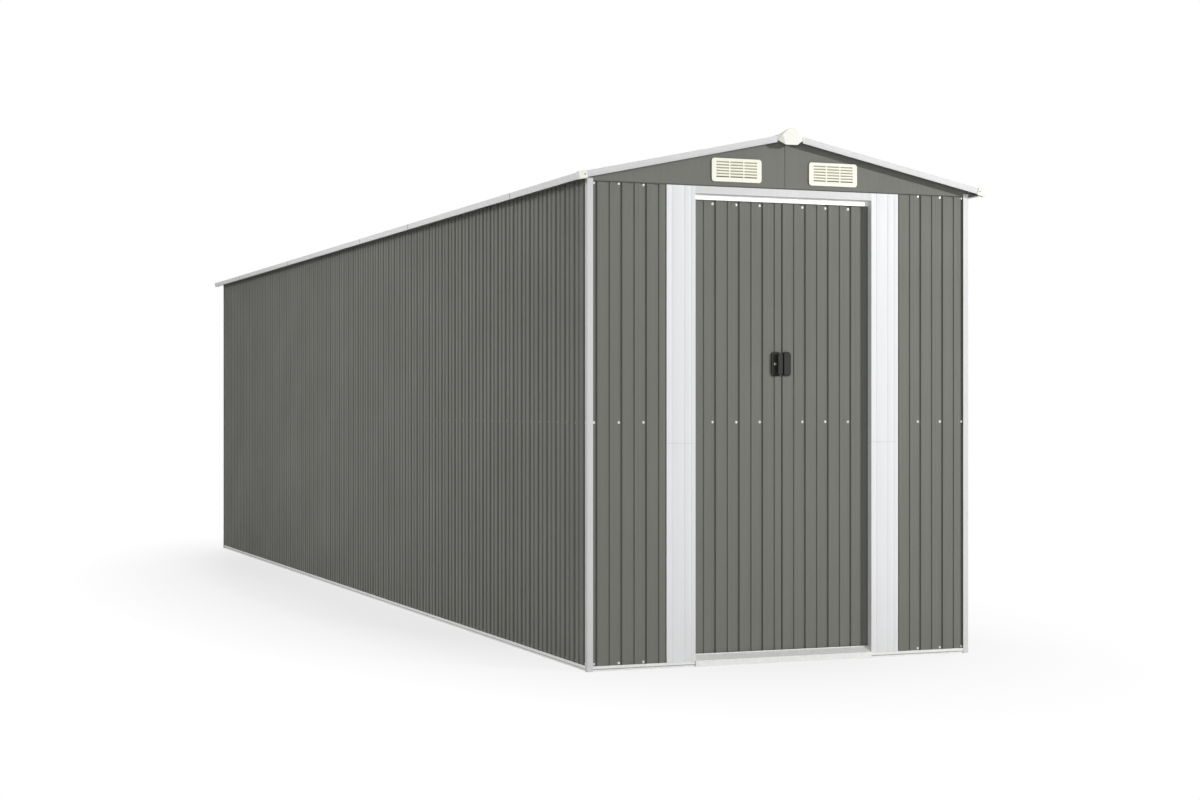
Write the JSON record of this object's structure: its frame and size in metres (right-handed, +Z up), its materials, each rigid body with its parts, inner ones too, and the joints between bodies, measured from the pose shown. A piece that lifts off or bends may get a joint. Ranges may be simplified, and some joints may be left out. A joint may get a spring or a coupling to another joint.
{
  "type": "metal storage shed",
  "caption": "Long gable-roofed storage shed of ribbed grey steel sheets with white trims, louvred gable vents and double sliding doors in the front end.",
  "frame": {"origin": "on the ground under the middle of the shed's overall box", "axes": "+Z up, +Y from the door end to the rear along the shed's length, +X to the right seen from the doors"},
  "size_m": [1.8846, 7.842, 2.224],
  "materials": {
    "grey_sheet": "satin",
    "white_trim": "satin",
    "zinc_steel": "galvanised",
    "ivory_plastic": "moulded",
    "black_plastic": "moulded"
  },
  "bodies": {
    "shed": {"front_base_rail": "zinc_steel", "rear_base_rail": "zinc_steel", "side_base_rails": "zinc_steel", "bottom_track": "zinc_steel", "threshold_ramp": "zinc_steel", "front_corner_trims": "white_trim", "rear_corner_trims": "white_trim", "front_wall_left": "grey_sheet", "front_wall_right": "grey_sheet", "left_wall_panels": "grey_sheet", "right_wall_panels": "grey_sheet", "rear_wall_panels": "grey_sheet", "left_jamb_trim": "white_trim", "right_jamb_trim": "white_trim", "door_header": "white_trim", "top_track": "zinc_steel", "front_top_rail": "zinc_steel", "rear_top_rail": "zinc_steel", "side_top_rails": "zinc_steel", "front_mid_rails": "zinc_steel", "side_mid_rails": "zinc_steel", "rear_mid_rail": "zinc_steel", "front_gable_panels": "grey_sheet", "rear_gable_panels": "grey_sheet", "front_vents": "ivory_plastic", "rear_vents": "ivory_plastic", "ridge_beam": "zinc_steel", "roof_purlins": "zinc_steel", "left_roof_panels": "grey_sheet", "right_roof_panels": "grey_sheet", "ridge_cap": "white_trim", "eave_trims": "white_trim", "front_verge_trims": "white_trim", "rear_verge_trims": "white_trim", "ridge_end_caps": "ivory_plastic", "eave_corner_caps": "ivory_plastic"},
    "left_door": {"left_door_panel": "grey_sheet", "left_door_stiles": "zinc_steel", "left_door_rails": "zinc_steel", "left_door_handle": "black_plastic", "left_door_lock": "zinc_steel", "left_door_runners": "black_plastic"},
    "right_door": {"right_door_panel": "grey_sheet", "right_door_stiles": "zinc_steel", "right_door_rails": "zinc_steel", "right_door_handle": "black_plastic", "right_door_runners": "black_plastic"}
  },
  "joints": [
    {"name": "left_door_slide", "type": "slide", "parent": "shed", "child": "left_door", "axis": [-1, 0, 0], "range_m": [0, 0.355]},
    {"name": "right_door_slide", "type": "slide", "parent": "shed", "child": "right_door", "axis": [1, 0, 0], "range_m": [0, 0.355]}
  ]
}
